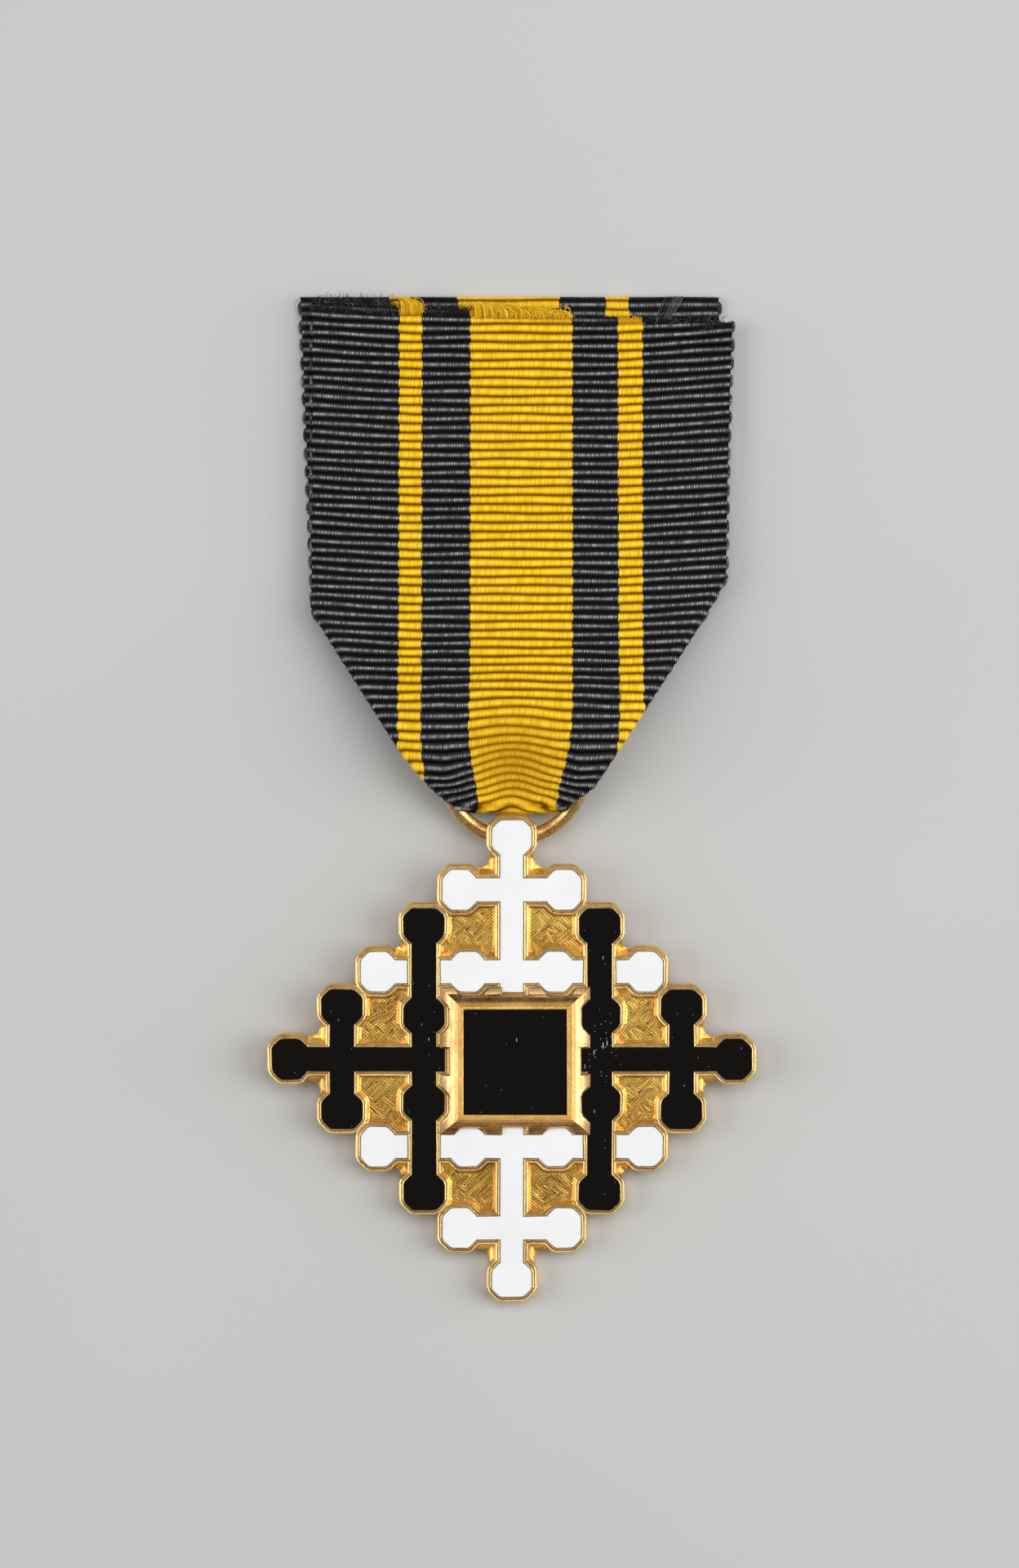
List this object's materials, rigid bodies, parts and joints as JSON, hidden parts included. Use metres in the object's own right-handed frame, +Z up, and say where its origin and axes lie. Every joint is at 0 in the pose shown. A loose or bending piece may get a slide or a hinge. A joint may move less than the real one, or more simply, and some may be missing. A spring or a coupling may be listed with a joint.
{
  "type": "order badge with ribbon",
  "caption": "Enamelled lattice cross with a raised square centre, hung by a wire ring from a striped ribbon, lying on its back.",
  "frame": {"origin": "middle of the outline's width and length, on the surface that it lies on", "axes": "+X to the right seen from the front, +Y from the cross to the ribbon's top edge, +Z up out of the front face"},
  "size_m": [0.043, 0.0888, 0.0071],
  "materials": {
    "gilt": "satin gilt, bright on the edges",
    "white_enamel": "gloss",
    "black_enamel": "gloss",
    "ribbon": "ribbed silk, yellow and black stripes"
  },
  "bodies": {
    "root": {"gilt_body": "gilt", "white_top": "white_enamel", "white_bottom": "white_enamel", "white_knob_upper_left": "white_enamel", "white_knob_upper_right": "white_enamel", "white_knob_lower_left": "white_enamel", "white_knob_lower_right": "white_enamel", "black_left": "black_enamel", "black_right": "black_enamel", "centre_panel": "black_enamel", "suspension_ring": "gilt", "ribbon": "ribbon"}
  },
  "joints": []
}
